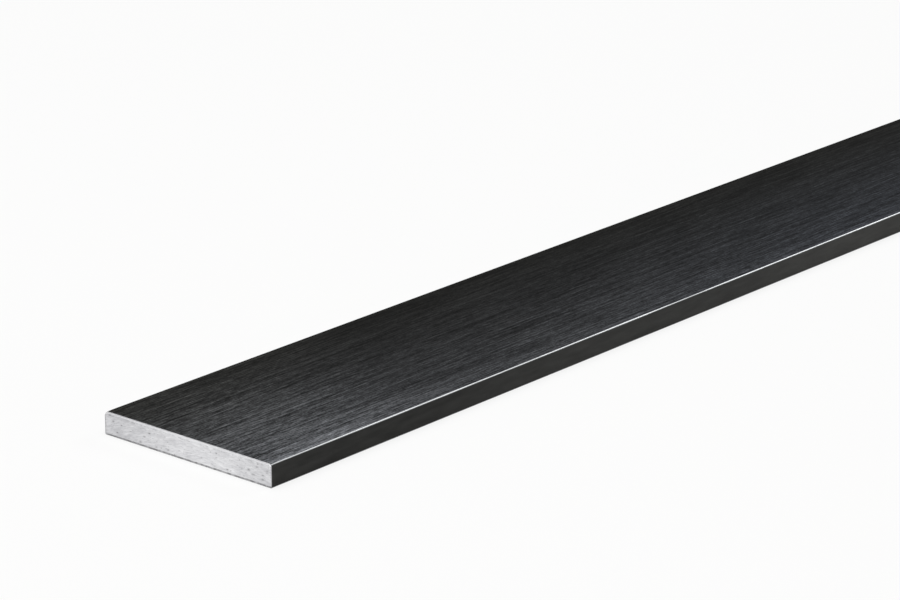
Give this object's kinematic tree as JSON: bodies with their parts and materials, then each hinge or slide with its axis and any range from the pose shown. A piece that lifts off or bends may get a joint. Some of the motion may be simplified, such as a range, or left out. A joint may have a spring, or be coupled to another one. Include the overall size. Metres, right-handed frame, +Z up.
{
  "type": "metal flat bar",
  "caption": "Straight solid rectangular steel flat bar with slightly rounded long corners and square sawn ends, stock for brackets, straps, frames and bracing.",
  "frame": {"origin": "middle of the underside, the centre of the bounding box's bottom face", "axes": "+X along the bar's length, +Y across its width, +Z up through its thickness; the sawn end at -X and the narrow side at -Y are the ones that the picture shows"},
  "size_m": [1, 0.045, 0.005],
  "materials": {
    "steel": "satin"
  },
  "bodies": {
    "root": {"flat_bar": "steel"}
  },
  "joints": []
}
